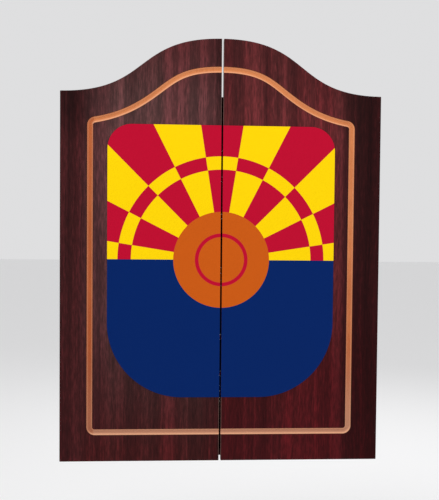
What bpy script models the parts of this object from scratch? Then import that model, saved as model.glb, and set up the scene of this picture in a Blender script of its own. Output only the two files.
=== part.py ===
"""Wall-hung dart board cabinet with two arched doors, built as separate parts.

Metres, +Z up. The front faces -Y and the wall is the plane y = 0. The origin is the centre of the upper
hanging rail's rear face, midway between the two keyhole seats. Left is -X.
"""
import math

import bmesh
import bpy
from mathutils import Vector

# Dart board, which sets the size of the case around it
BOARD_DIAMETER = 0.451
BOARD_THICKNESS = 0.038
SIDE_ROOM = 0.0242
ROOM_ABOVE = 0.065
ROOM_BELOW = 0.065

# Front
CROWN_RISE = 0.0902
ARCH_HANDLE = 0.149
ARCH_STEPS = 20
DOOR_THICKNESS = 0.013
SEAM_GAP = 0.003

# Clearances
GAP = 0.0003
SCREW_GAP = 0.0004

# Carcass
SIDE_THICKNESS = 0.012
PANEL_THICKNESS = 0.012
CARCASS_DEPTH = 0.083
DOOR_DROP = 0.005
DOOR_SHORT_OF_SHOULDER = 0.0033
BACK_THICKNESS = 0.005
BACK_GROOVE_DEPTH = 0.006
RAIL_THICKNESS = 0.012
RAIL_HEIGHT = 0.05

# Routed groove on the doors
GROOVE_WIDTH = 0.0102
GROOVE_DEPTH = 0.003
GROOVE_INSET = 0.049
GROOVE_INSET_ARCH = 0.051
GROOVE_CORNER_RADIUS = 0.009

# Emblem
EMBLEM_WIDTH = 0.378
EMBLEM_BELOW_SHOULDER = 0.0526
EMBLEM_ABOVE_BOTTOM = 0.1073
EMBLEM_TOP_RADIUS = 0.04
EMBLEM_BOTTOM_RADIUS = 0.125
EMBLEM_THICKNESS = 0.0004

# Hinges
KNUCKLE_RADIUS = 0.0018
LEAF_THICKNESS = 0.0007
PIN_CLEARANCE = 0.0003
PIN_HEAD_HEIGHT = 0.0012
KNUCKLE_TO_SIDE = 0.0009
HINGE_HEIGHT = 0.05
KNUCKLE_COUNT = 5
HINGE_FROM_END = 0.09
LEAF_SHORT_OF_SIDE = 0.001
LEAF_SCREW_SPREAD = 0.030
LEAF_SCREW_STAGGER = 0.006

# Screws
SCREW_RADIUS = 0.0011
SCREW_HEAD_RADIUS = 0.0023
SCREW_HEAD_HEIGHT = 0.0009
SCREW_LENGTH = 0.010
DOOR_SKIN = 0.004

# Keyhole plates
KEYHOLE_FROM_SIDE = 0.0467
PLATE_WIDTH = 0.020
PLATE_HEIGHT = 0.046
PLATE_THICKNESS = 0.0015
PLATE_DROP = 0.005
KEYHOLE_SLOT_RADIUS = 0.0024
KEYHOLE_ENTRY_RADIUS = 0.0048
KEYHOLE_ENTRY_DROP = 0.011
KEYHOLE_POCKET_DEPTH = 0.008
POCKET_ROOM = 0.003

# Catches
CATCH_WIDTH = 0.022
CATCH_HEIGHT = 0.012
CATCH_DEPTH = 0.024
CATCH_FROM_SEAM = 0.016
STRIKE_THICKNESS = 0.001

# Inside of the doors
SCORE_WIDTH = 0.19
SCORE_HEIGHT = 0.36
SCORE_THICKNESS = 0.003
SCORE_ABOVE_CENTRE = 0.002
RACK_LENGTH = 0.15
RACK_DEPTH = 0.026
RACK_HEIGHT = 0.022
RACK_OVER_PANEL = 0.003
RACK_HOLE_RADIUS = 0.0045
RACK_HOLE_SPACING = 0.045
RACK_HOLES = 3

# Pieces of the dart board
BACKER_THICKNESS = 0.010
BAND_THICKNESS = 0.0008
BOARD_OFF_PANEL = 0.008
BOARD_SEGMENTS = 80
SPIDER_RADII = (0.0159, 0.0990, 0.1070, 0.1620, 0.1700)
SPIDER_WIRE = 0.0014
SECTORS = 20
NUMBER_RING_INSET = 0.0115
NUMBER_RING_WIRE = 0.002
PAD_RADIUS = 0.0125
PAD_INSET = 0.0555
PADS = 3

# Bracket that the board hangs on
BRACKET_WIDTH = 0.05
BRACKET_FOOT = 0.015
BRACKET_HEIGHT = 0.04
BRACKET_METAL = 0.0015
BRACKET_ABOVE_SEAT = 0.016
HANG_SCREW_RADIUS = 0.0025
HANG_HEAD_RADIUS = 0.006
HANG_HEAD_HEIGHT = 0.002
HANG_HEAD_GAP = 0.0004

# Worked out from the sizes above
board_radius = BOARD_DIAMETER / 2
side_inner = board_radius + SIDE_ROOM
side_outer = side_inner + SIDE_THICKNESS
pin_x = side_outer + KNUCKLE_TO_SIDE + KNUCKLE_RADIUS
pin_y = -(CARCASS_DEPTH + GAP + KNUCKLE_RADIUS)
half_width = pin_x + KNUCKLE_RADIUS + GAP
door_inner = SEAM_GAP / 2
door_back = pin_y - KNUCKLE_RADIUS - GAP
door_front = door_back - DOOR_THICKNESS
inside_top = RAIL_HEIGHT / 2 + GAP
inside_bottom = inside_top - ROOM_ABOVE - BOARD_DIAMETER - ROOM_BELOW
board_z = inside_bottom + ROOM_BELOW + board_radius
carcass_top = inside_top + PANEL_THICKNESS
carcass_bottom = inside_bottom - PANEL_THICKNESS
shoulder = carcass_top + DOOR_SHORT_OF_SHOULDER
crown = shoulder + CROWN_RISE
door_bottom = carcass_bottom - DOOR_DROP
back_rear = -(RAIL_THICKNESS + GAP)
back_front = back_rear - BACK_THICKNESS
board_rear = back_front - BOARD_OFF_PANEL
board_front = board_rear - BOARD_THICKNESS
pin_radius = KNUCKLE_RADIUS - LEAF_THICKNESS - PIN_CLEARANCE
leaf_width = pin_x - side_inner - LEAF_SHORT_OF_SIDE
leaf_screw_x = (side_inner + side_outer) / 2
keyhole_x = side_inner - KEYHOLE_FROM_SIDE
hinge_heights = {"lower": carcass_bottom + HINGE_FROM_END, "upper": carcass_top - HINGE_FROM_END}
sides = {"left": -1, "right": 1}


def clear_scene():
    for thing in list(bpy.data.objects):
        bpy.data.objects.remove(thing, do_unlink=True)


def material(name, colour, roughness, metallic=0.0):
    made = bpy.data.materials.new(name)
    made.use_nodes = True
    shader = made.node_tree.nodes["Principled BSDF"]
    shader.inputs["Base Color"].default_value = (*colour, 1.0)
    shader.inputs["Roughness"].default_value = roughness
    shader.inputs["Metallic"].default_value = metallic
    return made


def mahogany(name):
    return material(name, (0.115, 0.030, 0.026), 0.35)


def steel(name):
    return material(name, (0.62, 0.62, 0.64), 0.35, 1.0)


def brassed_steel(name):
    return material(name, (0.55, 0.40, 0.20), 0.35, 1.0)


def bare_wire(name):
    return material(name, (0.60, 0.60, 0.62), 0.3, 1.0)


def rubber(name):
    return material(name, (0.03, 0.03, 0.03), 0.8)


def link(name, mesh, finish, parent=None):
    piece = bpy.data.objects.new(name, mesh)
    bpy.context.scene.collection.objects.link(piece)
    piece.data.materials.append(finish(name + "_finish"))
    piece.parent = parent
    if parent is not None:
        piece.matrix_parent_inverse = parent.matrix_world.inverted()
    return piece


def mesh_from(bm, name):
    bmesh.ops.remove_doubles(bm, verts=bm.verts, dist=1e-7)
    bmesh.ops.recalc_face_normals(bm, faces=bm.faces)
    mesh = bpy.data.meshes.new(name)
    bm.to_mesh(mesh)
    bm.free()
    return mesh


def add_box(bm, low, high):
    made = bmesh.ops.create_cube(bm, size=1.0)
    middle = (Vector(low) + Vector(high)) / 2
    size = Vector(high) - Vector(low)
    bmesh.ops.scale(bm, vec=size, verts=made["verts"])
    bmesh.ops.translate(bm, vec=middle, verts=made["verts"])


def mirrored_box(bm, side, low, high):
    """Adds a box given for the right-hand side, on whichever side is asked for."""
    near, far = sorted((side * low[0], side * high[0]))
    add_box(bm, (near, low[1], low[2]), (far, high[1], high[2]))


def add_turned(bm, profile, centre, axis, segments):
    """Turns a profile of (radius, height) pairs, both ends on the axis, about an axis through centre."""
    turned = bmesh.new()
    points = [turned.verts.new((radius, 0, height)) for radius, height in profile]
    edges = [turned.edges.new(pair) for pair in zip(points, points[1:])]
    bmesh.ops.spin(turned, geom=points + edges, cent=(0, 0, 0), axis=(0, 0, 1), angle=math.tau,
                   steps=segments, use_merge=True)
    bmesh.ops.remove_doubles(turned, verts=turned.verts, dist=1e-7)
    turn = Vector((0, 0, 1)).rotation_difference(Vector(axis)).to_matrix()
    bmesh.ops.rotate(turned, cent=(0, 0, 0), matrix=turn, verts=turned.verts)
    bmesh.ops.translate(turned, vec=centre, verts=turned.verts)
    mesh = bpy.data.meshes.new("turned")
    turned.to_mesh(mesh)
    turned.free()
    bm.from_mesh(mesh)
    bpy.data.meshes.remove(mesh)


def add_cylinder(bm, radius, start, end, segments):
    direction = Vector(end) - Vector(start)
    profile = [(0, 0), (radius, 0), (radius, direction.length), (0, direction.length)]
    add_turned(bm, profile, start, direction.normalized(), segments)


def add_prism(bm, outline, low_y, high_y):
    """Extrudes an outline of (x, z) points from low_y to high_y."""
    ring = [bm.verts.new((x, low_y, z)) for x, z in outline]
    face = bm.faces.new(ring)
    pushed = bmesh.ops.extrude_face_region(bm, geom=[face])
    moved = [item for item in pushed["geom"] if isinstance(item, bmesh.types.BMVert)]
    bmesh.ops.translate(bm, vec=(0, high_y - low_y, 0), verts=moved)


def add_ring(bm, inner, outer, low_y, high_y, centre, segments):
    """Adds a flat ring about an axis along Y."""
    profile = [(inner, low_y), (outer, low_y), (outer, high_y), (inner, high_y)]
    loops = []
    for step in range(segments):
        angle = math.tau * step / segments
        spot = [(centre[0] + r * math.sin(angle), y, centre[1] + r * math.cos(angle)) for r, y in profile]
        loops.append([bm.verts.new(point) for point in spot])
    for first, second in zip(loops, loops[1:] + loops[:1]):
        for k in range(4):
            bm.faces.new((first[k], first[(k + 1) % 4], second[(k + 1) % 4], second[k]))


def box_piece(name, low, high, finish, parent=None):
    bm = bmesh.new()
    add_box(bm, low, high)
    return link(name, mesh_from(bm, name), finish, parent)


def cut(piece, cutter_bm, label="cutter"):
    """Cuts a piece with a hidden cutter, which stays in the file as a guide."""
    name = piece.name + "_" + label
    cutter = bpy.data.objects.new(name, mesh_from(cutter_bm, name))
    bpy.context.scene.collection.objects.link(cutter)
    cutter.hide_render = True
    cutter.display_type = "WIRE"
    cutter.parent = piece.parent
    cutter.matrix_parent_inverse = piece.matrix_parent_inverse
    step = piece.modifiers.new(label, "BOOLEAN")
    step.operation = "DIFFERENCE"
    step.solver = "EXACT"
    step.object = cutter


def fillet(before, corner, after, radius, steps):
    """Points of the arc that rounds a corner, tangent to both of its sides."""
    corner = Vector(corner)
    back = (Vector(before) - corner).normalized()
    onward = (Vector(after) - corner).normalized()
    half_angle = back.angle(onward) / 2
    centre = corner + (back + onward).normalized() * radius / math.sin(half_angle)
    reach = radius / math.tan(half_angle)
    start = corner + back * reach - centre
    end = corner + onward * reach - centre
    sweep = start.angle_signed(end)
    points = []
    for step in range(steps + 1):
        angle = -sweep * step / steps
        turned = Vector((start.x * math.cos(angle) - start.y * math.sin(angle),
                         start.x * math.sin(angle) + start.y * math.cos(angle)))
        points.append(tuple(centre + turned))
    return points


def arch_point(t, inset=0.0):
    """A point of the right half of the arch, from the crown at t = 0 to the shoulder at t = 1."""
    handles = [Vector((0, crown)), Vector((ARCH_HANDLE, crown)),
               Vector((half_width - ARCH_HANDLE, shoulder)), Vector((half_width, shoulder))]
    a, b, c, d = handles
    s = 1 - t
    point = a * s ** 3 + b * 3 * s * s * t + c * 3 * s * t * t + d * t ** 3
    along = (b - a) * s * s + (c - b) * 2 * s * t + (d - c) * t * t
    inward = Vector((along.y, -along.x)).normalized()
    return point + inward * inset


def door_outline():
    """The right door's outline, without its share of the seam gap."""
    points = [(door_inner, door_bottom), (half_width, door_bottom)]
    for step in range(ARCH_STEPS + 1):
        spot = arch_point(1 - step / ARCH_STEPS)
        points.append((max(spot.x, door_inner), spot.y))
    return points


def groove_path():
    """The right door's groove, as a line from past the seam at the top round to past it at the bottom."""
    past_seam = -0.004
    line_x = half_width - GROOVE_INSET
    line_z = door_bottom + GROOVE_INSET
    path = [(past_seam, crown - GROOVE_INSET_ARCH)]
    arch = [arch_point(step / ARCH_STEPS, GROOVE_INSET_ARCH) for step in range(1, ARCH_STEPS)]
    clear = line_x - 1.3 * GROOVE_CORNER_RADIUS
    path += [(spot.x, spot.y) for spot in arch if 0.01 < spot.x < clear]
    last = path[-1]
    ahead = next(spot for spot in arch if spot.x >= clear)
    slope = (ahead.y - last[1]) / (ahead.x - last[0])
    top = (line_x, last[1] + slope * (line_x - last[0]))
    low = (line_x, line_z)
    path += fillet(last, top, low, GROOVE_CORNER_RADIUS, 4)
    path += fillet(top, low, (past_seam, line_z), GROOVE_CORNER_RADIUS, 4)
    path.append((past_seam, line_z))
    return path


def groove_profile():
    """Cross-section of the cutter: (across, depth) with depth below the door's front face."""
    half = GROOVE_WIDTH / 2
    radius = (half * half + GROOVE_DEPTH * GROOVE_DEPTH) / (2 * GROOVE_DEPTH)
    spread = math.asin(half / radius)
    above = -0.001
    profile = [(-half, above)]
    for step in range(5):
        angle = -spread + 2 * spread * step / 4
        profile.append((radius * math.sin(angle), radius * math.cos(angle) - radius + GROOVE_DEPTH))
    profile.append((half, above))
    return profile


def add_groove(bm, side):
    """Sweeps the groove's cross-section along its path."""
    path = [Vector(point) for point in groove_path()]
    profile = groove_profile()
    loops = []
    for index, point in enumerate(path):
        before = (point - path[index - 1]).normalized() if index else (path[1] - point).normalized()
        after = (path[index + 1] - point).normalized() if index + 1 < len(path) else before
        along = (before + after).normalized()
        across = Vector((along.y, -along.x)) / along.dot(before)
        loop = []
        for offset, depth in profile:
            spot = point + across * offset
            loop.append(bm.verts.new((side * spot.x, door_front + depth, spot.y)))
        loops.append(loop)
    count = len(profile)
    for first, second in zip(loops, loops[1:]):
        for k in range(count):
            bm.faces.new((first[k], first[(k + 1) % count], second[(k + 1) % count], second[k]))
    bm.faces.new(loops[0])
    bm.faces.new(loops[-1])


def leaf_screw_heights(height, for_door):
    """The two screws of a leaf. The door leaf's stand further apart, so that no two heads meet."""
    spread = LEAF_SCREW_SPREAD / 2 + (LEAF_SCREW_STAGGER / 2 if for_door else -LEAF_SCREW_STAGGER / 2)
    return [height - spread, height + spread]


def add_pilot_holes(bm, side, for_door):
    """Pilot holes for the leaf screws, in a door's back or in a side's front edge."""
    face = door_back if for_door else -CARCASS_DEPTH
    inward = -1 if for_door else 1
    depth = inward * (screw_reach(for_door) + SCREW_GAP)
    for middle in hinge_heights.values():
        for height in leaf_screw_heights(middle, for_door):
            start = (side * leaf_screw_x, face - inward * 0.001, height)
            end = (side * leaf_screw_x, face + depth, height)
            add_cylinder(bm, SCREW_RADIUS + SCREW_GAP, start, end, 12)


def screw_reach(for_door):
    """How far a leaf screw goes into the wood."""
    return DOOR_THICKNESS - DOOR_SKIN - SCREW_GAP if for_door else SCREW_LENGTH - LEAF_THICKNESS


def make_side(word, side):
    low = (side_inner, -CARCASS_DEPTH, carcass_bottom)
    high = (side_outer, 0, carcass_top)
    bm = bmesh.new()
    mirrored_box(bm, side, low, high)
    piece = link(word + "_side", mesh_from(bm, word), mahogany)
    cutter = bmesh.new()
    groove_low = (side_inner - 0.001, back_front - GAP, inside_bottom - BACK_GROOVE_DEPTH)
    groove_high = (side_inner + BACK_GROOVE_DEPTH, back_rear + GAP, inside_top + BACK_GROOVE_DEPTH)
    mirrored_box(cutter, side, groove_low, groove_high)
    add_pilot_holes(cutter, side, False)
    cut(piece, cutter)


def make_end_panel(name, low_z, groove_low, groove_high):
    """The top or bottom panel, with the groove that the back panel stands in."""
    reach = side_inner - GAP
    piece = box_piece(name, (-reach, -CARCASS_DEPTH, low_z), (reach, 0, low_z + PANEL_THICKNESS), mahogany)
    cutter = bmesh.new()
    add_box(cutter, (-reach - 0.001, back_front - GAP, groove_low), (reach + 0.001, back_rear + GAP, groove_high))
    cut(piece, cutter)


def make_carcass():
    for word, side in sides.items():
        make_side(word, side)
    make_end_panel("bottom_panel", carcass_bottom, inside_bottom - BACK_GROOVE_DEPTH, inside_bottom + 0.001)
    make_end_panel("top_panel", inside_top, inside_top - 0.001, inside_top + BACK_GROOVE_DEPTH)
    reach = side_inner + BACK_GROOVE_DEPTH - GAP
    low = (-reach, back_front, inside_bottom - BACK_GROOVE_DEPTH + GAP)
    high = (reach, back_rear, inside_top + BACK_GROOVE_DEPTH - GAP)
    box_piece("back_panel", low, high, mahogany)


def keyhole_outline(x):
    """The keyhole: a wide entry below, and a narrow slot whose rounded end is the seat at z = 0."""
    slot = KEYHOLE_SLOT_RADIUS
    entry = KEYHOLE_ENTRY_RADIUS
    meet = math.asin(slot / entry)
    points = []
    for step in range(13):
        angle = meet + (math.tau - 2 * meet) * step / 12
        points.append((x + entry * math.sin(angle), -KEYHOLE_ENTRY_DROP + entry * math.cos(angle)))
    for step in range(7):
        angle = math.pi * (1 - step / 6)
        points.append((x + slot * math.cos(angle), slot * math.sin(angle)))
    return points


def make_upper_rail():
    reach = side_inner - GAP
    low = (-reach, -RAIL_THICKNESS, -RAIL_HEIGHT / 2)
    piece = box_piece("upper_hanging_rail", low, (reach, 0, RAIL_HEIGHT / 2), mahogany)
    cutter = bmesh.new()
    seat_depth = PLATE_THICKNESS + GAP
    for side in sides.values():
        x = side * keyhole_x
        wide = PLATE_WIDTH / 2 + GAP
        tall = PLATE_HEIGHT / 2 + GAP
        add_box(cutter, (x - wide, -seat_depth, -PLATE_DROP - tall), (x + wide, 0.001, -PLATE_DROP + tall))
    cut(piece, cutter, "recess_cutter")
    pockets = bmesh.new()
    wide = KEYHOLE_ENTRY_RADIUS + POCKET_ROOM
    for side in sides.values():
        x = side * keyhole_x
        floor = -seat_depth - KEYHOLE_POCKET_DEPTH
        add_box(pockets, (x - wide, floor, -KEYHOLE_ENTRY_DROP - wide), (x + wide, -0.0005, wide))
    cut(piece, pockets, "pocket_cutter")


def make_keyhole_plates():
    for word, side in sides.items():
        x = side * keyhole_x
        low = (x - PLATE_WIDTH / 2, -PLATE_THICKNESS, -PLATE_DROP - PLATE_HEIGHT / 2)
        high = (x + PLATE_WIDTH / 2, 0, -PLATE_DROP + PLATE_HEIGHT / 2)
        piece = box_piece(word + "_keyhole_plate", low, high, steel)
        cutter = bmesh.new()
        add_prism(cutter, keyhole_outline(x), -PLATE_THICKNESS - 0.001, 0.001)
        cut(piece, cutter)


def make_lower_rail():
    reach = side_inner - GAP
    low_z = inside_bottom + GAP
    low = (-reach, -RAIL_THICKNESS, low_z)
    box_piece("lower_hanging_rail", low, (reach, 0, low_z + RAIL_HEIGHT), mahogany)


def knuckle_outline(side, for_door):
    """A leaf in plan: a flat sheet whose end is rolled round the pin, not quite closed."""
    facing = -1 if for_door else 1
    bore = KNUCKLE_RADIUS - LEAF_THICKNESS
    steps = 12
    turn = math.radians(300)
    points = [(-leaf_width, KNUCKLE_RADIUS)]
    for step in range(steps + 1):
        angle = math.pi / 2 - turn * step / steps
        points.append((KNUCKLE_RADIUS * math.cos(angle), KNUCKLE_RADIUS * math.sin(angle)))
    for step in range(steps, -1, -1):
        angle = math.pi / 2 - turn * step / steps
        points.append((bore * math.cos(angle), bore * math.sin(angle)))
    points.append((-leaf_width, bore))
    return [(side * (pin_x + x), pin_y + facing * y) for x, y in points]


def add_upright_prism(bm, outline, low_z, high_z):
    """Extrudes an outline of (x, y) points upward."""
    ring = [bm.verts.new((x, y, low_z)) for x, y in outline]
    face = bm.faces.new(ring)
    pushed = bmesh.ops.extrude_face_region(bm, geom=[face])
    moved = [item for item in pushed["geom"] if isinstance(item, bmesh.types.BMVert)]
    bmesh.ops.translate(bm, vec=(0, 0, high_z - low_z), verts=moved)


def make_leaf(name, side, for_door, middle, parent):
    low_z = middle - HINGE_HEIGHT / 2
    bm = bmesh.new()
    add_upright_prism(bm, knuckle_outline(side, for_door), low_z, low_z + HINGE_HEIGHT)
    piece = link(name, mesh_from(bm, name), brassed_steel, parent)
    cutter = bmesh.new()
    tall = HINGE_HEIGHT / KNUCKLE_COUNT
    reach = KNUCKLE_RADIUS + 2 * GAP
    for index in range(0 if for_door else 1, KNUCKLE_COUNT, 2):
        low = low_z + index * tall - GAP / 2
        high = low_z + (index + 1) * tall + GAP / 2
        low -= 0.001 if index == 0 else 0
        high += 0.001 if index == KNUCKLE_COUNT - 1 else 0
        mirrored_box(cutter, side, (pin_x - reach, pin_y - reach, low), (pin_x + reach, pin_y + reach, high))
    for height in leaf_screw_heights(middle, for_door):
        x = side * leaf_screw_x
        start = (x, pin_y - KNUCKLE_RADIUS - 0.001, height)
        end = (x, pin_y + KNUCKLE_RADIUS + 0.001, height)
        add_cylinder(cutter, SCREW_RADIUS + SCREW_GAP, start, end, 12)
    cut(piece, cutter)


def make_pin(name, side, middle):
    """A hinge pin with a low domed head on top of the knuckles."""
    low = -HINGE_HEIGHT / 2
    top = HINGE_HEIGHT / 2 + GAP
    head = pin_radius + LEAF_THICKNESS
    profile = [(0, low), (pin_radius, low), (pin_radius, top), (head, top), (head, top + PIN_HEAD_HEIGHT * 0.6),
               (head * 0.6, top + PIN_HEAD_HEIGHT), (0, top + PIN_HEAD_HEIGHT)]
    bm = bmesh.new()
    add_turned(bm, profile, (side * pin_x, pin_y, middle), (0, 0, 1), 10)
    link(name, mesh_from(bm, name), brassed_steel)


def make_leaf_screw(name, side, for_door, height, parent):
    """A pan-headed screw through a leaf, with its tip in the pilot hole."""
    bore = KNUCKLE_RADIUS - LEAF_THICKNESS
    seat = bore - GAP
    facing = -1 if for_door else 1
    reach = seat + LEAF_THICKNESS + 2 * GAP + screw_reach(for_door)
    tip = reach - 2 * SCREW_RADIUS
    dome = SCREW_HEAD_HEIGHT * 0.5
    profile = [(0, seat - SCREW_HEAD_HEIGHT), (SCREW_HEAD_RADIUS * 0.6, seat - SCREW_HEAD_HEIGHT),
               (SCREW_HEAD_RADIUS, seat - dome), (SCREW_HEAD_RADIUS, seat), (SCREW_RADIUS, seat),
               (SCREW_RADIUS, tip), (0, reach - GAP)]
    bm = bmesh.new()
    add_turned(bm, profile, (side * leaf_screw_x, pin_y, height), (0, facing, 0), 10)
    link(name, mesh_from(bm, name), brassed_steel, parent)


def make_hinges(word, side, door_pivot):
    for level, middle in hinge_heights.items():
        name = word + "_" + level + "_hinge_"
        make_leaf(name + "frame_leaf", side, False, middle, None)
        make_leaf(name + "door_leaf", side, True, middle, door_pivot)
        make_pin(name + "pin", side, middle)
        for number, height in enumerate(leaf_screw_heights(middle, False), 1):
            make_leaf_screw(name + "frame_screw_" + str(number), side, False, height, None)
        for number, height in enumerate(leaf_screw_heights(middle, True), 1):
            make_leaf_screw(name + "door_screw_" + str(number), side, True, height, door_pivot)


def make_door(word, side, pivot):
    outline = [(side * x, z) for x, z in door_outline()]
    bm = bmesh.new()
    add_prism(bm, outline, door_front, door_back)
    piece = link(word + "_door", mesh_from(bm, word), mahogany, pivot)
    groove = bmesh.new()
    add_groove(groove, side)
    cut(piece, groove, "groove_cutter")
    pilots = bmesh.new()
    add_pilot_holes(pilots, side, True)
    cut(piece, pilots, "pilot_cutter")


def emblem_outline():
    """The right half of the emblem: a badge with rounded corners, wider rounded below."""
    edge = EMBLEM_WIDTH / 2
    top = shoulder - EMBLEM_BELOW_SHOULDER
    low = door_bottom + EMBLEM_ABOVE_BOTTOM
    points = [(door_inner, low)]
    points += fillet((door_inner, low), (edge, low), (edge, top), EMBLEM_BOTTOM_RADIUS, 10)
    points += fillet((edge, low), (edge, top), (door_inner, top), EMBLEM_TOP_RADIUS, 6)
    points.append((door_inner, top))
    return points


def make_emblem(word, side, pivot):
    outline = [(side * x, z) for x, z in emblem_outline()]
    bm = bmesh.new()
    rear = door_front - GAP
    add_prism(bm, outline, rear - EMBLEM_THICKNESS, rear)

    def vinyl(name):
        return material(name, (0.45, 0.03, 0.05), 0.4)

    link(word + "_emblem", mesh_from(bm, word), vinyl, pivot)


def make_score_panel(word, side, pivot):
    middle_x = (door_inner + half_width) / 2
    middle_z = board_z + SCORE_ABOVE_CENTRE
    rear = door_back + GAP
    bm = bmesh.new()
    low = (middle_x - SCORE_WIDTH / 2, rear, middle_z - SCORE_HEIGHT / 2)
    high = (middle_x + SCORE_WIDTH / 2, rear + SCORE_THICKNESS, middle_z + SCORE_HEIGHT / 2)
    mirrored_box(bm, side, low, high)

    def slate(name):
        return material(name, (0.02, 0.02, 0.022), 0.7)

    link(word + "_score_panel", mesh_from(bm, word), slate, pivot)


def make_dart_rack(word, side, pivot):
    middle_x = side * (door_inner + half_width) / 2
    rear = door_back + GAP
    low_z = inside_bottom + RACK_OVER_PANEL
    low = (middle_x - RACK_LENGTH / 2, rear, low_z)
    high = (middle_x + RACK_LENGTH / 2, rear + RACK_DEPTH, low_z + RACK_HEIGHT)
    piece = box_piece(word + "_dart_rack", low, high, mahogany, pivot)
    cutter = bmesh.new()
    for index in range(RACK_HOLES):
        x = middle_x + (index - (RACK_HOLES - 1) / 2) * RACK_HOLE_SPACING
        y = rear + RACK_DEPTH / 2
        start = (x, y, low_z - 0.001)
        end = (x, y, low_z + RACK_HEIGHT + 0.001)
        add_cylinder(cutter, RACK_HOLE_RADIUS, start, end, 16)
    cut(piece, cutter)


def make_catch(word, side, pivot):
    """A magnet in a case under the top panel, and the plate on the door that it holds."""
    near = CATCH_FROM_SEAM - CATCH_WIDTH / 2
    far = CATCH_FROM_SEAM + CATCH_WIDTH / 2
    high_z = inside_top - GAP
    strike_face = door_back + GAP + STRIKE_THICKNESS
    case_front = strike_face + GAP

    def black_plastic(name):
        return material(name, (0.05, 0.035, 0.03), 0.5)

    bm = bmesh.new()
    low = (near, case_front, high_z - CATCH_HEIGHT)
    mirrored_box(bm, side, low, (far, case_front + CATCH_DEPTH, high_z))
    link(word + "_magnet_catch", mesh_from(bm, word), black_plastic)
    bm = bmesh.new()
    low = (near, door_back + GAP, high_z - CATCH_HEIGHT)
    mirrored_box(bm, side, low, (far, strike_face, high_z))
    link(word + "_strike_plate", mesh_from(bm, word), steel, pivot)


def disc_piece(name, radius, rear, front, finish, parent):
    bm = bmesh.new()
    add_cylinder(bm, radius, (0, rear, board_z), (0, front, board_z), BOARD_SEGMENTS)
    return link(name, mesh_from(bm, name), finish, parent)


def ring_piece(name, inner, outer, rear, front, finish, parent):
    bm = bmesh.new()
    add_ring(bm, inner, outer, rear, front, (0, board_z), BOARD_SEGMENTS)
    return link(name, mesh_from(bm, name), finish, parent)


def make_spider(parent):
    """The flat wire grid: rings, and straight wires between the sectors, all one piece."""
    half = SPIDER_WIRE / 2
    rear = board_front - GAP
    rings = [edge for radius in SPIDER_RADII for edge in (radius - half, radius + half)]
    stations = []
    for sector in range(SECTORS):
        middle = math.tau * (sector + 0.5) / SECTORS
        stations += [(middle, -1), (middle, 1), (middle + math.pi / SECTORS, 0)]

    def corner(bm, radius, station):
        angle = station[0] + station[1] * math.asin(half / radius)
        return bm.verts.new((radius * math.sin(angle), rear, board_z + radius * math.cos(angle)))

    bm = bmesh.new()
    grid = [[corner(bm, radius, station) for station in stations] for radius in rings]
    count = len(stations)
    for low in range(len(rings) - 1):
        for k in range(count):
            on_ring = low % 2 == 0
            on_wire = stations[k][1] == -1
            if on_ring or on_wire:
                following = (k + 1) % count
                bm.faces.new((grid[low][k], grid[low][following], grid[low + 1][following], grid[low + 1][k]))
    pushed = bmesh.ops.extrude_face_region(bm, geom=list(bm.faces))
    moved = [item for item in pushed["geom"] if isinstance(item, bmesh.types.BMVert)]
    bmesh.ops.translate(bm, vec=(0, -SPIDER_WIRE, 0), verts=moved)
    link("wire_spider", mesh_from(bm, "wire_spider"), bare_wire, parent)


def make_hang_screw(parent):
    """The screw in the middle of the board's back, whose head sits behind the bracket."""
    plate_rear = bracket_plate_rear()
    head_front = plate_rear + HANG_HEAD_GAP
    head_rear = head_front + HANG_HEAD_HEIGHT
    length = head_rear - board_rear - GAP
    profile = [(0, 0), (HANG_SCREW_RADIUS, 0), (HANG_SCREW_RADIUS, length - HANG_HEAD_HEIGHT),
               (HANG_HEAD_RADIUS, length - HANG_HEAD_HEIGHT), (HANG_HEAD_RADIUS * 0.8, length), (0, length)]
    bm = bmesh.new()
    add_turned(bm, profile, (0, board_rear + GAP, board_z), (0, 1, 0), 16)
    link("centre_screw", mesh_from(bm, "centre_screw"), steel, parent)


def bracket_plate_rear():
    """The rear of the bracket's raised plate: room behind it for the screw's head and the foot's metal."""
    return back_front - GAP - BRACKET_METAL - HANG_HEAD_HEIGHT - 2 * HANG_HEAD_GAP


def make_bracket():
    """A hat-shaped steel bracket with an open slot, in which the board's centre screw rests."""
    foot_rear = back_front - GAP
    foot_front = foot_rear - BRACKET_METAL
    plate_rear = bracket_plate_rear()
    plate_front = plate_rear - BRACKET_METAL
    rise = BRACKET_WIDTH / 2
    foot = rise + BRACKET_FOOT
    inner = rise - BRACKET_METAL
    half = [(inner, plate_rear), (inner, foot_rear), (foot, foot_rear), (foot, foot_front),
            (rise, foot_front), (rise, plate_front)]
    outline = half + [(-x, y) for x, y in reversed(half)]
    seat = board_z
    slot_radius = HANG_SCREW_RADIUS + GAP
    top = seat + BRACKET_ABOVE_SEAT
    bm = bmesh.new()
    add_upright_prism(bm, outline, top - BRACKET_HEIGHT, top)
    piece = link("hanging_bracket", mesh_from(bm, "hanging_bracket"), steel)
    slot = [(slot_radius, top + 0.001), (-slot_radius, top + 0.001)]
    for step in range(9):
        angle = math.pi * (1 + step / 8)
        slot.append((slot_radius * math.cos(angle), seat + slot_radius * math.sin(angle)))
    cutter = bmesh.new()
    add_prism(cutter, slot, plate_front - 0.001, plate_rear + 0.001)
    cut(piece, cutter)


def make_pads(parent):
    pad_circle = board_radius - PAD_INSET
    for index in range(PADS):
        angle = math.tau * index / PADS
        x = pad_circle * math.sin(angle)
        z = board_z + pad_circle * math.cos(angle)
        bm = bmesh.new()
        add_cylinder(bm, PAD_RADIUS, (x, board_rear + GAP, z), (x, back_front - GAP, z), 16)
        name = "board_pad_" + str(index + 1)
        link(name, mesh_from(bm, name), rubber, parent)


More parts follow.
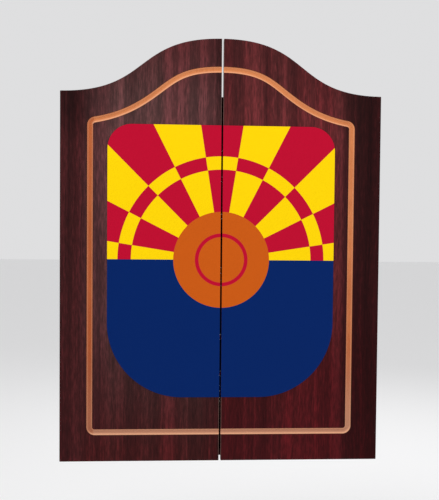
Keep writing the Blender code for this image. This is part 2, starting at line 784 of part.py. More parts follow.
def make_dart_board(parent):
    core = board_radius - BAND_THICKNESS - GAP

    def sisal(name):
        return material(name, (0.05, 0.045, 0.035), 0.9)

    def chipboard(name):
        return material(name, (0.40, 0.27, 0.15), 0.8)

    backer_front = board_rear - BACKER_THICKNESS
    disc_piece("board_backer", core, board_rear, backer_front, chipboard, parent)
    disc_piece("sisal_face", core, backer_front - GAP, board_front, sisal, parent)
    ring_piece("board_band", core + GAP, board_radius, board_rear, board_front, rubber, parent)
    make_spider(parent)
    rear = board_front - GAP
    inner = board_radius - NUMBER_RING_INSET - NUMBER_RING_WIRE / 2
    ring_piece("number_ring", inner, inner + NUMBER_RING_WIRE, rear, rear - NUMBER_RING_WIRE, bare_wire, parent)
    make_hang_screw(parent)
    make_pads(parent)


def pivot_empty(name, place):
    empty = bpy.data.objects.new(name, None)
    bpy.context.scene.collection.objects.link(empty)
    empty.location = place
    bpy.context.view_layer.update()
    return empty


def main():
    clear_scene()
    make_carcass()
    make_upper_rail()
    make_keyhole_plates()
    make_lower_rail()
    make_bracket()
    make_dart_board(pivot_empty("board_lift", (0, board_rear, board_z)))
    for word, side in sides.items():
        pivot = pivot_empty(word + "_door_hinge", (side * pin_x, pin_y, door_bottom))
        make_door(word, side, pivot)
        make_emblem(word, side, pivot)
        make_score_panel(word, side, pivot)
        make_dart_rack(word, side, pivot)
        make_catch(word, side, pivot)
        make_hinges(word, side, pivot)
    for piece in bpy.data.objects:
        if piece.type == "MESH" and not piece.hide_render:
            piece.data.shade_smooth()
            piece.data.set_sharp_from_angle(angle=math.radians(30))


main()
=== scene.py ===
import functools
import math

import bpy
from mathutils import Matrix, Vector


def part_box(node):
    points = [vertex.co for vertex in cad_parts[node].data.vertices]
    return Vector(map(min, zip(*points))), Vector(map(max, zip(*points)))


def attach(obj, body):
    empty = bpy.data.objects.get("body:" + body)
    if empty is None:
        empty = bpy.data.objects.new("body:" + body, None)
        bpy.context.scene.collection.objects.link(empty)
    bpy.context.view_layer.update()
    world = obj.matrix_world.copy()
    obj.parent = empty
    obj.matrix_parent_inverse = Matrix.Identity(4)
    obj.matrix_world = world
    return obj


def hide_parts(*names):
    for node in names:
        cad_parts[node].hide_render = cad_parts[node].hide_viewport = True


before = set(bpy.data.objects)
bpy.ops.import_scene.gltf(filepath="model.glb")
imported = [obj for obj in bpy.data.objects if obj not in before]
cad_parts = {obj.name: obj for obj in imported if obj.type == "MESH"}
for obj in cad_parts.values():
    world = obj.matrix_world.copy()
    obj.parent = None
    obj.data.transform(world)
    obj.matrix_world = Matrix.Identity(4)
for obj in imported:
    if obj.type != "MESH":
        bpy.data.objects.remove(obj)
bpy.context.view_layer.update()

sideSigns = {"left": -1, "right": 1}
doorLow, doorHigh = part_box("right_door")
halfWidth = doorHigh.x
seamHalf = doorLow.x
doorFront = doorLow.y
doorBack = doorHigh.y
doorFoot = doorLow.z
crown = doorHigh.z


# General modelling steps

def switchTo(mode):
    bpy.ops.object.mode_set(mode=mode)


def deselectAll():
    if bpy.context.object and bpy.context.object.mode != "OBJECT":
        switchTo("OBJECT")
    bpy.ops.object.select_all(action="DESELECT")


def pick(piece):
    deselectAll()
    piece.select_set(True)
    bpy.context.view_layer.objects.active = piece


def setAll(thing, **settings):
    for key, value in settings.items():
        setattr(thing, key, value)


def added(step, name, **settings):  # runs a step that adds an object
    deselectAll()
    step(**settings)
    piece = bpy.context.object
    piece.name = name
    return piece


def settle(piece):  # puts the object's place into its mesh
    pick(piece)
    bpy.ops.object.transform_apply(location=True, rotation=True, scale=True)


def applyModifier(piece, kind, **settings):
    pick(piece)
    step = piece.modifiers.new("step", kind)
    setAll(step, **settings)
    bpy.ops.object.modifier_apply(modifier=step.name)


def editMesh(piece, action="SELECT"):
    pick(piece)
    switchTo("EDIT")
    bpy.ops.mesh.select_all(action=action)


def cleanUp(piece, flatten=False):
    editMesh(piece)
    bpy.ops.mesh.remove_doubles(threshold=0.000002)
    if flatten:
        bpy.ops.mesh.dissolve_limited(angle_limit=math.radians(0.5))
    bpy.ops.mesh.normals_make_consistent(inside=False)
    switchTo("OBJECT")


def smooth(piece, degrees=35):  # large faces keep flat shading
    pick(piece)
    bpy.ops.object.shade_smooth_by_angle(angle=math.radians(degrees))
    applyModifier(piece, "WEIGHTED_NORMAL", mode="FACE_AREA", weight=50, keep_sharp=True)


def easeEdges(piece, width, segments=2, degrees=40):
    applyModifier(piece, "BEVEL", width=width, segments=segments, limit_method="ANGLE",
                  angle_limit=math.radians(degrees), use_clamp_overlap=True)


def cutAway(piece, cutter, operation="DIFFERENCE"):
    applyModifier(piece, "BOOLEAN", object=cutter, operation=operation, solver="EXACT")
    bpy.data.objects.remove(cutter)


def addBlock(name, low, high):
    low = Vector(low)
    high = Vector(high)
    piece = added(bpy.ops.mesh.primitive_cube_add, name, size=1, location=(low + high) / 2)
    piece.scale = high - low
    settle(piece)
    return piece


def turnTo(piece, direction):  # points the piece's own +Z along a direction
    piece.rotation_mode = "QUATERNION"
    piece.rotation_quaternion = Vector((0, 0, 1)).rotation_difference(Vector(direction))


def addRod(name, radius, start, end, sides=32, endRadius=None):
    start = Vector(start)
    along = Vector(end) - start
    piece = added(bpy.ops.mesh.primitive_cone_add, name, vertices=sides, radius1=radius,
                  radius2=endRadius or radius, depth=along.length, location=start + along / 2)
    turnTo(piece, along)
    settle(piece)
    return piece


def addCurve(name, dimensions):  # an empty curve object, ready for its lines
    piece = added(bpy.ops.curve.primitive_bezier_circle_add, name)
    piece.data.splines.clear()
    piece.data.dimensions = dimensions
    return piece


def addLine(curve, points, closed=False):
    line = curve.splines.new("POLY")
    line.points.add(len(points) - 1)
    line.use_cyclic_u = closed
    for spot, point in zip(line.points, points):
        spot.co = (*point, 1) if len(point) == 3 else (*point, 0, 1)


def toMesh(piece, flatten=False):
    pick(piece)
    bpy.ops.object.convert(target="MESH")
    settle(piece)
    cleanUp(piece, flatten)


def addOutline(name, loops, low, high, upright=True):  # loops in x and z, else x and y
    piece = addCurve(name, "2D")
    piece.data.fill_mode = "BOTH"
    piece.data.extrude = (high - low) / 2
    for points in loops:
        addLine(piece.data, points, closed=True)
    if upright:
        piece.rotation_euler.x = math.pi / 2
        piece.location.y = (low + high) / 2
    else:
        piece.location.z = (low + high) / 2
    toMesh(piece, flatten=True)
    return piece


def addTubes(name, lines, radius, roundness=4):  # lines of points and closed or not
    piece = addCurve(name, "3D")
    setAll(piece.data, bevel_depth=radius, bevel_resolution=roundness, use_fill_caps=True)
    for points, closed in lines:
        addLine(piece.data, points, closed)
    toMesh(piece)
    return piece


def joinAll(name, pieces):
    pick(pieces[0])
    for piece in pieces[1:]:
        piece.select_set(True)
    bpy.ops.object.join()
    pieces[0].name = name
    return pieces[0]


def duplicateOf(source, name):
    pick(source)
    bpy.ops.object.duplicate()
    piece = bpy.context.object
    piece.name = name
    return piece


def copyTo(source, name, spot=(0, 0, 0), facing=(0, 0, 1)):
    piece = duplicateOf(source, name)
    turnTo(piece, facing)
    piece.location = spot
    settle(piece)
    return piece


def copyNode(node, name):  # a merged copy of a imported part
    piece = duplicateOf(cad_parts[node], name)
    piece.parent = None
    piece.hide_render = False
    for key in [key for key in piece.keys() if key.startswith("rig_")]:
        del piece[key]
    cleanUp(piece, flatten=True)
    return piece


def roundCorner(before, corner, after, radius, steps=8):  # arc tangent to both sides of a corner
    corner = Vector(corner)
    back = (Vector(before) - corner).normalized()
    onward = (Vector(after) - corner).normalized()
    halfAngle = back.angle(onward) / 2
    centre = corner + (back + onward).normalized() * radius / math.sin(halfAngle)
    reach = radius / math.tan(halfAngle)
    start = corner + back * reach - centre
    sweep = -start.angle_signed(corner + onward * reach - centre)
    points = []
    for step in range(steps + 1):
        turned = start.copy()
        turned.rotate(Matrix.Rotation(sweep * step / steps, 2))
        points.append(tuple(centre + turned))
    return points


def addDial(name, reach, rings, spokes, front, centreZ):  # rings and spokes, left in edit mode
    dial = added(bpy.ops.mesh.primitive_circle_add, name, vertices=spokes, radius=reach,
                 fill_type="NGON", location=(0, front, centreZ), rotation=(math.pi / 2, 0, 0))
    settle(dial)
    editMesh(dial)
    for radius in rings:
        bpy.ops.mesh.inset(thickness=reach - radius)
        reach = radius
    bpy.ops.mesh.poke()
    return dial


def paintDial(dial, finishes, paintAt, thickness, centreZ):
    switchTo("OBJECT")
    for finish in finishes:
        dial.data.materials.append(finish)
    for face in dial.data.polygons:
        face.material_index = paintAt(face.center.x, face.center.z - centreZ)
    applyModifier(dial, "SOLIDIFY", thickness=thickness, offset=-1)
    cleanUp(dial)


def addDisc(name, radius, x, z, front, back, sides=160):
    return addRod(name, radius, (x, front, z), (x, back, z), sides)


def polar(radius, turns, y, centreZ):  # clockwise from the top, seen from the front
    angle = turns * math.tau
    return (radius * math.sin(angle), y, centreZ + radius * math.cos(angle))


def boxAndMiddle(node):
    low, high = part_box(node)
    return low, high, (low + high) / 2


def place(piece, slot, body, *nodes):
    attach(piece, body)
    if nodes:
        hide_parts(*nodes)


def dress(piece, finish, slot, body, *nodes, easing=None, segments=2, degrees=40, smoothing=35):
    if easing:
        easeEdges(piece, easing, segments, degrees)
    smooth(piece, smoothing)
    piece.data.materials.clear()
    piece.data.materials.append(finish)
    place(piece, slot, body, *nodes)


# Material building

underWork = {}  # the material that the steps below add their nodes to


def newFinish(name):  # gives the coordinates that the patterns are laid on
    material = bpy.data.materials.new(name)
    material.use_nodes = True
    underWork["material"] = material
    return addNode("TexCoord").outputs["Object"]


def setSocket(socket, value):
    if isinstance(value, bpy.types.NodeSocket):
        socket.id_data.links.new(value, socket)
    else:
        socket.default_value = value


def addNode(kind, inputs=None, **settings):
    made = underWork["material"].node_tree.nodes.new("ShaderNode" + kind)
    setAll(made, **settings)
    for key, value in (inputs or {}).items():
        setSocket(made.inputs[key], value)
    return made


def stretched(coords, scale, turn=(0, 0, 0), shift=(0, 0, 0)):
    inputs = {"Vector": coords, "Scale": scale, "Rotation": turn, "Location": shift}
    return addNode("Mapping", inputs).outputs["Vector"]


def noise(coords, scale=1.0, detail=3, roughness=0.55):
    inputs = {"Vector": coords, "Scale": scale, "Detail": detail, "Roughness": roughness}
    return addNode("TexNoise", inputs).outputs["Fac"]


def cells(coords, scale):
    made = addNode("TexVoronoi", {"Vector": coords, "Scale": scale})
    return made.outputs["Distance"], made.outputs["Color"]


def ramp(factor, stops, smoothly=False):
    made = addNode("ValToRGB", {"Fac": factor})
    band = made.color_ramp
    if smoothly:
        band.interpolation = "EASE"
    while len(band.elements) < len(stops):
        band.elements.new(0.5)
    for element, (position, colour) in zip(band.elements, stops):
        element.position = position
        element.color = (*colour, 1)
    return made.outputs["Color"]


def grey(value):
    return (value, value, value)


def mask(factor, *stops):  # a ramp between plain numbers
    return ramp(factor, [(position, grey(value)) for position, value in stops], smoothly=True)


def blended(factor, first, second, kind="MIX"):
    made = addNode("Mix", data_type="RGBA", blend_type=kind)
    setSocket(made.inputs[0], factor)
    for socket, colour in ((made.inputs[6], first), (made.inputs[7], second)):
        setSocket(socket, colour if isinstance(colour, bpy.types.NodeSocket) else (*colour, 1))
    return made.outputs[2]


def maths(operation, first, second=0.0):
    return addNode("Math", {0: first, 1: second}, operation=operation).outputs[0]


def times(first, second):
    return maths("MULTIPLY", first, second)


def plus(first, second):
    return maths("ADD", first, second)


def minus(first, second):
    return maths("SUBTRACT", first, second)


def scaled(colour, gain):  # a colour times a field
    return addNode("VectorMath", {0: colour, "Scale": gain}, operation="SCALE").outputs[0]


def tinted(colour, tint):
    return blended(1.0, colour, tint, "MULTIPLY")


def splitXYZ(vector):
    return addNode("SeparateXYZ", {"Vector": vector}).outputs


def weighted(*pairs):  # sum of fields, each times its weight
    return functools.reduce(plus, [times(field, weight) for field, weight in pairs])


def finished(colour, roughness, specular=0.5, metallic=0.0, bump=None):
    inputs = underWork["material"].node_tree.nodes["Principled BSDF"].inputs
    for key, value in {"Base Color": colour, "Roughness": roughness, "Specular IOR Level": specular,
                       "Metallic": metallic}.items():
        setSocket(inputs[key], value)
    if bump:
        made = addNode("Bump", dict(zip(("Height", "Strength", "Distance"), bump)))
        setSocket(inputs["Normal"], made.outputs["Normal"])
    return underWork["material"]


# Stained wood: doors, case, rails and racks

woodSettings = {
    "dark": (0.019, 0.0052, 0.006),
    "middle": (0.047, 0.0105, 0.0118),
    "red": (0.12, 0.0225, 0.0265),
    "pore": (0.006, 0.0025, 0.0025),
    "toning": (0.9, 1.16, 1.09),
    "patterns": (  # how fine across and along the grain, detail, roughness
        ((62, 0.8), 3, 0.6),
        ((190, 5), 4, 0.65),
        ((360, 55), 3, 0.6),
        ((1100, 40), 2, 0.5),
        ((24, 0.8), 2, 0.5),
    ),
    "wander": (9, 2.2),
    "wanderWidth": 0.016,
    "weights": (0.44, 0.23, 0.33),
    "levels": (0.35, 0.5, 0.65),
    "poreStrength": 0.45,
    "poreFrom": ((0.6, 0), (0.7, 1)),
    "tonesFrom": ((0.36, 0), (0.66, 1)),
    "gloss": (0.36, 0.16),
    "specular": 0.055,
}


def drawnOut(coords, scales, detail, roughness=0.55):  # noise stretched along the grain
    across, lengthwise = scales
    return noise(stretched(coords, (across, across, lengthwise)), 1.0, detail, roughness)


def woodFinish(name, turn=(0, 0, 0), shift=(0, 0, 0), shading=None):
    s = woodSettings
    coords = stretched(newFinish(name), (1, 1, 1), turn, shift)
    wander = drawnOut(coords, s["wander"], 2)
    aside = addNode("CombineXYZ", {"X": times(minus(wander, 0.5), s["wanderWidth"])}).outputs[0]
    bent = addNode("VectorMath", {0: coords, 1: aside}, operation="ADD").outputs[0]
    bands, streaks, mottle, pores, tones = (drawnOut(bent, *pattern) for pattern in s["patterns"])
    pores = mask(pores, *s["poreFrom"])
    tones = mask(tones, *s["tonesFrom"])
    grain = weighted(*zip((bands, streaks, mottle), s["weights"]))
    colour = ramp(grain, list(zip(s["levels"], (s["dark"], s["middle"], s["red"]))))
    colour = blended(tones, colour, tinted(colour, s["toning"]))
    colour = blended(times(pores, s["poreStrength"]), colour, s["pore"])
    if shading:
        colour = shading(colour)
    least, spread = s["gloss"]
    height = weighted((streaks, 0.5), (pores, -0.8))
    gloss = plus(least, times(streaks, spread))
    return finished(colour, gloss, s["specular"], bump=(height, 0.22, 0.0002))


# Shares of the door's height and half width, each with the strength there
doorShading = {
    "sheenByHeight": ((0.12, 0.0), (0.45, 0.3), (0.78, 1.0), (0.92, 0.6), (1.0, 0.45)),
    "sheenAcross": ((0.68, 1.0), (0.94, 0.0)),
    "leftEdge": ((0.72, 1.0), (0.88, 0.92), (0.98, 0.8)),
    "rightEdge": ((0.7, 1.08), (0.84, 0.52), (0.92, 0.5), (1.0, 0.56)),
    "cornerByHeight": ((0.72, 0.0), (0.84, 1.0)),
    "cornerAcross": ((0.72, 0.0), (0.92, 1.0)),
    "cornerShade": 0.48,
    # painted shade in a strip beside the seam on the left door
    "seamShade": ((0.028, 0.5), (0.055, 1.0)),
    "tintScale": 1.6,
    # the left door's greyer tint higher up is part of the painted sheen
    "leftTint": ((0.03, (0.64, 0.41, 0.39)), (0.35, (0.62, 0.98, 0.92)), (0.86, (0.59, 0.88, 0.8)),
                 (0.98, (0.59, 0.62, 0.58))),
    "leftStileTint": (0.66, 0.5, 0.5),
    "stileAcross": ((0.78, 0.0), (0.92, 1.0)),
    "rightTint": ((0.04, (0.7, 0.24, 0.29)), (0.22, (0.63, 0.24, 0.28)), (0.45, (0.72, 0.44, 0.47)),
                  (0.9, (0.58, 0.41, 0.4))),
    "frontOnly": ((0.3, 1), (0.9, 0)),  # centimetres behind the front face
    # painted highlight on the doors' seam edges
    "wearAndHighlight": (0.2, 0.13, 0.11),
    "seamHighlightWidth": 0.0009,
    "seamHighlightDepths": (0.00004, 0.0012),
    "seamHighlightStrength": 0.55,
}


def doorHeight(z):  # from 0 at the door's foot to 1 at the crown
    return maths("DIVIDE", minus(z, doorFoot), crown - doorFoot)


def shadeDoor(colour):  # darker stiles, painted shade on the left door beside the seam and in its top outer corner, a painted sheen high up, redder to the right, painted highlights on the seam edges
    s = doorShading
    x, y, z = splitXYZ(addNode("TexCoord").outputs["Object"])
    fromMiddle = maths("ABSOLUTE", x)
    across = maths("DIVIDE", fromMiddle, halfWidth)
    height = doorHeight(z)
    onRight = maths("GREATER_THAN", x, 0.0)
    # painted sheen: a pale reflection high on the doors, fading towards their outer edges
    paintedSheen = times(mask(height, *s["sheenByHeight"]), mask(across, *s["sheenAcross"]))
    corner = times(mask(height, *s["cornerByHeight"]), mask(across, *s["cornerAcross"]))
    leftEdges = times(mask(across, *s["leftEdge"]), mask(across, *s["seamShade"]))
    leftEdges = times(leftEdges, plus(1.0, times(corner, -s["cornerShade"])))
    edges = blended(onRight, leftEdges, mask(across, *s["rightEdge"]))
    gain = times(times(plus(1.0, paintedSheen), s["tintScale"]), edges)
    leftTint = blended(mask(across, *s["stileAcross"]), ramp(height, s["leftTint"]), s["leftStileTint"])
    tint = blended(onRight, leftTint, ramp(height, s["rightTint"]))
    fromFront = minus(y, doorFront)
    front = mask(times(fromFront, 100), *s["frontOnly"])
    colour = blended(front, colour, tinted(scaled(colour, gain), tint))
    # painted highlight along the seam edges of both doors
    low, high = s["seamHighlightDepths"]
    wornAndHighlight = times(maths("GREATER_THAN", fromFront, low), maths("LESS_THAN", fromFront, high))
    wornAndHighlight = times(wornAndHighlight, maths("LESS_THAN", minus(fromMiddle, seamHalf), s["seamHighlightWidth"]))
    return blended(times(wornAndHighlight, s["seamHighlightStrength"]), colour, s["wearAndHighlight"])


grooveSettings = {
    "lipDark": (0.045, 0.012, 0.008),
    "raw": (0.44, 0.12, 0.04),
    "pale": (0.66, 0.235, 0.085),
    "bottomReflection": (0.47, 0.228, 0.145),
    "grooveHighlight": (0.95, 0.5, 0.29),
    "leftTint": (0.76, 0.58, 0.5),
    "depth": 0.003,
}


def grooveFinish():  # routed raw core, darker at the lips, painted highlights on its walls, most on the walls facing up and left, and a painted reflection on the bottom run
    s = grooveSettings
    coords = newFinish("groove_wood")
    fibres = drawnOut(coords, (420, 60), 3, 0.6)
    patches = drawnOut(coords, (16, 10), 2, 0.5)
    x, y, z = splitXYZ(coords)
    height = doorHeight(z)
    tone = weighted((fibres, 0.3), (patches, 0.35), (height, 0.35))
    colour = ramp(tone, [(0.32, s["raw"]), (0.66, s["pale"])])
    # painted reflection: the lowest groove run blended towards a paler tan
    low = mask(height, (0.06, 1), (0.3, 0))
    colour = blended(times(low, 0.85), colour, s["bottomReflection"])
    onLeft = mask(maths("DIVIDE", x, -halfWidth), (0.785, 0), (0.8, 1))
    colour = blended(onLeft, colour, tinted(colour, s["leftTint"]))
    # painted highlight: walls facing up and to the left made paler, as if lit from the upper left
    across, inward, upward = splitXYZ(addNode("TexCoord").outputs["Normal"])
    facing = weighted((across, -0.3), (upward, 0.95))
    depth = maths("DIVIDE", minus(y, doorFront), s["depth"])
    # painted highlight on the groove's walls partway down
    wall = mask(depth, (0.2, 0), (0.38, 1), (0.62, 1), (0.88, 0))
    paintedHighlight = weighted((wall, 0.22), (mask(facing, (0.1, 0), (0.6, 1)), 0.35))
    colour = blended(paintedHighlight, colour, s["grooveHighlight"])
    # darker at the lips
    lip = mask(depth, (0.0, 1), (0.14, 0.7), (0.3, 0))
    colour = blended(lip, colour, s["lipDark"])
    return finished(colour, 0.55, 0.1, bump=(fibres, 0.25, 0.0002))


doorWood = woodFinish("door_wood", shading=shadeDoor)
uprightWood = woodFinish("upright_wood", shift=(0.37, 0, 0.2))
crossWood = woodFinish("cross_wood", turn=(0, math.pi / 2, 0), shift=(0.11, 0, 0))
grooveWood = grooveFinish()
print("stage: wood finishes")


# Doors

doorSettings = {
    "shoulderRise": 0.6133,
    "archHandle": 0.149,
    "archSteps": 72,
    "edgeRound": 0.001,
    "grooveWidth": 0.0102,
    "grooveDepth": 0.003,
    "grooveInset": 0.049,
    "archInset": 0.051,
    "grooveCorner": 0.009,
    "pastSeam": 0.006,
}


def archPoint(t, inset=0.0):  # right half of the arch, crown to shoulder
    handle = doorSettings["archHandle"]
    shoulder = doorFoot + doorSettings["shoulderRise"]
    corners = ((0, crown), (handle, crown), (halfWidth - handle, shoulder), (halfWidth, shoulder))
    first, second, third, fourth = (Vector(corner) for corner in corners)
    u = 1 - t
    point = first * u ** 3 + second * 3 * u * u * t + third * 3 * u * t * t + fourth * t ** 3
    along = (second - first) * u * u + (third - second) * 2 * u * t + (fourth - third) * t * t
    return point + Vector((along.y, -along.x)).normalized() * inset


def doorOutline():
    steps = doorSettings["archSteps"]
    arch = [archPoint(1 - step / steps) for step in range(steps + 1)]
    foot = [(seamHalf, doorFoot), (halfWidth, doorFoot)]
    return foot + [(max(spot.x, seamHalf), spot.y) for spot in arch]


def groovePath():
    s = doorSettings
    lineX = halfWidth - s["grooveInset"]
    lineZ = doorFoot + s["grooveInset"]
    clear = lineX - 1.15 * s["grooveCorner"]
    arch = [archPoint(step / s["archSteps"], s["archInset"]) for step in range(1, s["archSteps"])]
    path = [(-s["pastSeam"], crown - s["archInset"])]
    path += [tuple(spot) for spot in arch if 0.004 < spot.x < clear]
    last = Vector(path[-1])
    ahead = next(spot for spot in arch if spot.x >= clear)
    slope = (ahead.y - last.y) / (ahead.x - last.x)
    top = (lineX, last.y + slope * (lineX - last.x))
    low = (lineX, lineZ)
    path += roundCorner(last, top, low, s["grooveCorner"], 10)
    path += roundCorner(top, low, (-s["pastSeam"], lineZ), s["grooveCorner"], 10)
    return path + [(-s["pastSeam"], lineZ)]


def makeDoors():
    s = doorSettings
    door = addOutline("right_arched_door", [doorOutline()], doorFront, doorBack)
    easeEdges(door, s["edgeRound"], 3)
    cleanUp(door)
    halfGroove = s["grooveWidth"] / 2
    cutterRadius = (halfGroove ** 2 + s["grooveDepth"] ** 2) / (2 * s["grooveDepth"])
    cutterY = doorFront + s["grooveDepth"] - cutterRadius
    path = [(x, cutterY, z) for x, z in groovePath()]
    cutter = addTubes("router_bit_path", [(path, False)], cutterRadius, 10)
    door.data.materials.append(doorWood)
    cutter.data.materials.append(grooveWood)
    applyModifier(door, "BOOLEAN", object=cutter, operation="DIFFERENCE", solver="EXACT",
                  material_mode="TRANSFER")
    bpy.data.objects.remove(cutter)
    smooth(door, 30)
    other = duplicateOf(door, "left_arched_door")
    other.scale.x = -1
    settle(other)
    cleanUp(other)
    smooth(other)
    place(door, "stained_wood", "right_door_body", "right_door")
    place(other, "stained_wood", "left_door_body", "left_door")


makeDoors()
print("stage: doors")


# Emblem: wedges and rings, cut in two by the seam

emblemSettings = {
    "cornerRadii": (0.125, 0.04),
    "centreRise": 0.3376,
    "outerReach": 0.42,
    "rings": (0.172, 0.15, 0.08, 0.044, 0.038),
    "sectors": 20,
    "spokes": 240,
    "trimPast": 0.002,
}


def vinylFinish(name, colour):
    coords = newFinish(name)
    speckle = noise(coords, 2200, 2, 0.6)
    drift = noise(coords, 9, 3)
    wornAndHighlight = tuple(0.82 * part for part in colour)
    tint = blended(times(drift, 0.25), colour, wornAndHighlight)
    tint = blended(mask(speckle, (0.62, 0), (0.8, 0.1)), tint, grey(0.25))
    gloss = plus(0.42, times(drift, 0.12))
    return finished(tint, gloss, 0.05, bump=(speckle, 0.06, 0.0001))


emblemPaints = [
    vinylFinish("crimson_print", (0.5, 0.0025, 0.027)),
    vinylFinish("yellow_print", (0.97, 0.655, 0.0)),
    vinylFinish("navy_print", (0.0, 0.0165, 0.12)),
    vinylFinish("burnt_orange_print", (0.575, 0.1, 0.006)),
    vinylFinish("film_edge", (0.06, 0.03, 0.032)),
]


def emblemPaint(across, up):  # which paint is at a spot, measured from the bull
    s = emblemSettings
    radius = math.hypot(across, up)
    outer, inner, bull, lineOuter, lineInner = s["rings"]
    if radius < bull:
        return 0 if lineInner < radius < lineOuter else 3
    if up < 0:
        return 2
    sector = math.floor(math.atan2(across, up) / math.tau * s["sectors"] + 0.5)
    return (sector + (1 if inner < radius < outer else 0)) % 2


def emblemTrim():
    low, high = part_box("right_emblem")
    start = (low.x, low.z)
    corner = (high.x, low.z)
    top = (high.x, high.z)
    end = (low.x, high.z)
    lowRadius, topRadius = emblemSettings["cornerRadii"]
    arcs = roundCorner(start, corner, top, lowRadius, 32) + roundCorner(corner, top, end, topRadius, 16)
    return [start] + arcs + [end]


def makeEmblem():
    s = emblemSettings
    front, rear = (corner.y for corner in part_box("right_emblem"))
    centreZ = doorFoot + s["centreRise"]
    disc = addDial("badge", s["outerReach"], s["rings"], s["spokes"], front, centreZ)
    bpy.ops.mesh.select_all(action="SELECT")
    bpy.ops.mesh.bisect(plane_co=(0, 0, centreZ), plane_no=(0, 0, 1))
    paintDial(disc, emblemPaints, emblemPaint, rear - front, centreZ)
    for word, side in sideSigns.items():
        half = copyTo(disc, word + "_badge_half")
        trim = [(side * x, z) for x, z in emblemTrim()]
        cutter = addOutline("trim", [trim], front - s["trimPast"], rear + s["trimPast"])
        cutAway(half, cutter, "INTERSECT")
        for face in half.data.polygons:
            if abs(face.normal.y) < 0.5:
                face.material_index = len(emblemPaints) - 1
        place(half, "printed_vinyl", word + "_door_body", word + "_emblem")
    bpy.data.objects.remove(disc)


makeEmblem()
print("stage: emblem")


# Metal, plastic and rubber finishes

def metalFinish(name, colour, stain, roughness, brushed=(1, 1, 1), wearAndHighlight=0.35):
    coords = newFinish(name)
    blotches = noise(coords, 55, 4, 0.6)
    fine = noise(stretched(coords, tuple(1400 * part for part in brushed)), 1.0, 3, 0.6)
    tint = blended(mask(blotches, (0.38, 0), (0.66, wearAndHighlight)), colour, stain)
    gloss = plus(roughness, times(blotches, 0.18))
    return finished(tint, gloss, metallic=1.0, bump=(fine, 0.1, 0.00008))


def mouldedFinish(name, colour, roughness, pitch=900, specular=0.35):
    coords = newFinish(name)
    pebbles = cells(coords, pitch)[0]
    dust = noise(coords, 40, 4, 0.6)
    pale = tuple(part * 1.6 + 0.012 for part in colour)
    tint = blended(mask(dust, (0.45, 0), (0.72, 0.4)), colour, pale)
    gloss = plus(roughness, times(dust, 0.15))
    return finished(tint, gloss, specular, bump=(pebbles, 0.25, 0.0001))


brass = metalFinish("antique_brass", (0.44, 0.285, 0.115), (0.15, 0.085, 0.035), 0.3, (1, 1, 0.05), 0.7)
zincSteel = metalFinish("zinc_steel", (0.6, 0.6, 0.61), (0.38, 0.39, 0.4), 0.3, (1, 1, 0.08))
wireSteel = metalFinish("galvanised_wire", (0.66, 0.67, 0.68), (0.42, 0.43, 0.44), 0.26)
blackPlastic = mouldedFinish("brown_plastic", (0.045, 0.024, 0.018), 0.42)
blackRubber = mouldedFinish("black_rubber", (0.018, 0.018, 0.018), 0.72, 1500, 0.2)
blackPaint = mouldedFinish("black_band_paint", (0.012, 0.012, 0.013), 0.4, 2600, 0.4)
magnetFerrite = mouldedFinish("magnet_ferrite", (0.03, 0.03, 0.033), 0.55, 3000, 0.3)


# Screws, domed or countersunk, with a cross recess

screwSettings = {
    "headRadius": 0.0023,
    "domeHeight": 0.0009,
    "sinkHeight": 0.0013,
    "shankRadius": 0.0011,
    "coreShare": 0.8,
    "tipLength": 0.0022,
    "tipRadius": 0.0001,
    "domeRound": 0.8,
    "recessWidth": 0.00045,
    "recessReach": 0.0013,
    "recessDepth": 0.0005,
}
screwLengths = {"frame": 0.0112, "door": 0.0105, "small": 0.008, "sunk": 0.008, "bracket": 0.0058}
screwModels = {}


def makeScrew(kind, length, countersunk):  # the head's top at the origin, the shank down -Z
    s = screwSettings
    headHeight = s["sinkHeight"] if countersunk else s["domeHeight"]
    neck = s["shankRadius"] if countersunk else s["headRadius"]
    screw = addRod("screw_model_" + kind, neck, (0, 0, -headHeight), (0, 0, 0), 32, s["headRadius"])
    if not countersunk:
        editMesh(screw, "DESELECT")
        switchTo("OBJECT")
        for edge in screw.data.edges:
            edge.select = all(screw.data.vertices[index].co.z > -0.0001 for index in edge.vertices)
        switchTo("EDIT")
        bpy.ops.mesh.bevel(offset=s["domeHeight"] * s["domeRound"], segments=4, affect="EDGES")
        switchTo("OBJECT")
    reach, half = s["recessReach"], s["recessWidth"] / 2
    for x, y in ((reach, half), (half, reach)):
        cutAway(screw, addBlock("recess", (-x, -y, -s["recessDepth"]), (x, y, 0.001)))
    core = s["shankRadius"] * s["coreShare"]
    shankEnd = -length + s["tipLength"]
    shank = addRod("shank", core, (0, 0, shankEnd), (0, 0, -headHeight + 0.0002), 20)
    cutAway(screw, shank, "UNION")
    tip = addRod("tip", s["tipRadius"], (0, 0, -length), (0, 0, shankEnd + 0.0001), 20, core)
    cutAway(screw, tip, "UNION")
    cleanUp(screw)
    smooth(screw, 30)
    screw.data.materials.append(brass if kind in ("frame", "door") else zincSteel)
    screwModels[kind] = screw


def addScrew(name, kind, head, facing, slot="zinc_steel", body="root", *nodes):
    place(copyTo(screwModels[kind], name, head, facing), slot, body, *nodes)


for kind, length in screwLengths.items():
    makeScrew(kind, length, kind == "sunk")
print("stage: screws")


# Hinges

hingeSettings = {
    "knuckles": 5,
    "knuckleRadius": 0.0018,
    "leafThickness": 0.0007,
    "turnDegrees": 300,
    "turnSteps": 40,
    "gap": 0.0003,
    "endClear": 0.001,
    "screwHole": 0.0015,
    "easing": 0.00012,
    "pinHead": (0.0015, 0.0012),
    "headRound": 0.0005,
    "shaftRound": 0.0002,
}


